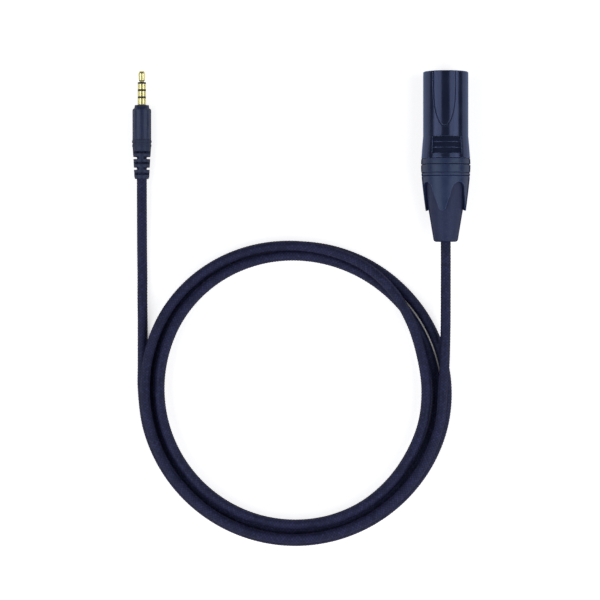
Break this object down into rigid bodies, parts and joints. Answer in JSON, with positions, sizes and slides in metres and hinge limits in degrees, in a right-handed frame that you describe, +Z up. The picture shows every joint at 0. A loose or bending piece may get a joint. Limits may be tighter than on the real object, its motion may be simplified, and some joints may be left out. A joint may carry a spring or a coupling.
{
  "type": "xlr cable coil",
  "caption": "Braided audio cable put away in a round coil, with a male XLR connector at one end and a 3.5 mm jack plug at the other.",
  "frame": {"origin": "bottom centre of the box round the two plugs and their boots, without the cord: it lies on the surface that the cable lies on", "axes": "+Y along both plugs, from the cord to their free ends; +X from the jack plug to the XLR connector; +Z up from the surface"},
  "size_m": [0.1426, 0.2009, 0.0208],
  "materials": {
    "cord_braid": "fine braided textile jacket, dark navy",
    "shell_metal": "black chrome, glossy, blue-black",
    "insert_plastic": "moulded, black",
    "contact_gold": "gold plated, polished",
    "chuck_plastic": "moulded, dark grey",
    "boot_plastic": "moulded, satin, blue-black",
    "collar_plastic": "moulded, satin, blue-black",
    "boot_rubber": "soft, matte, blue-black",
    "wire_red": "insulated wire, red",
    "wire_white": "insulated wire, white",
    "wire_blue": "insulated wire, blue",
    "plug_gold": "gold plated, polished",
    "band_plastic": "insulating band, black",
    "handle_plastic": "moulded, satin, blue-black",
    "mould_plastic": "inner moulding, grey",
    "relief_rubber": "flexible moulding, matte, blue-black"
  },
  "bodies": {
    "cable": {"coil": "cord_braid", "jack_lead": "cord_braid", "xlr_lead": "cord_braid", "xlr_shell": "shell_metal", "xlr_insert": "insert_plastic", "xlr_contact_1": "contact_gold", "xlr_contact_2": "contact_gold", "xlr_contact_3": "contact_gold", "xlr_wire_1": "wire_red", "xlr_wire_2": "wire_white", "xlr_wire_3": "wire_blue", "xlr_cable_end": "cord_braid", "jack_tip": "plug_gold", "jack_ring_1": "plug_gold", "jack_ring_2": "plug_gold", "jack_sleeve": "plug_gold", "jack_insulator_1": "band_plastic", "jack_insulator_2": "band_plastic", "jack_insulator_3": "band_plastic", "jack_neck": "band_plastic", "jack_barrel": "handle_plastic", "jack_inner_mould": "mould_plastic", "jack_strain_relief": "relief_rubber", "jack_wire_1": "wire_red", "jack_wire_2": "wire_white", "jack_wire_3": "wire_blue", "jack_cable_end": "cord_braid"},
    "chuck": {"xlr_chuck": "chuck_plastic"},
    "boot": {"xlr_boot": "boot_plastic", "collar_ring": "collar_plastic", "xlr_boot_sleeve": "boot_rubber"}
  },
  "joints": [
    {"name": "boot_travel", "type": "slide", "parent": "cable", "child": "chuck", "axis": [0, -1, 0], "range_m": [0, 0.0075]},
    {"name": "boot_turn", "type": "hinge", "parent": "chuck", "child": "boot", "pos_m": [0.06088, 0, 0.01038], "axis": [0, -1, 0], "range_deg": [0, 1800]}
  ],
  "couplings": [
    {"joint": "boot_travel", "follows": "boot_turn", "m_per_rad": 0.0002387}
  ]
}
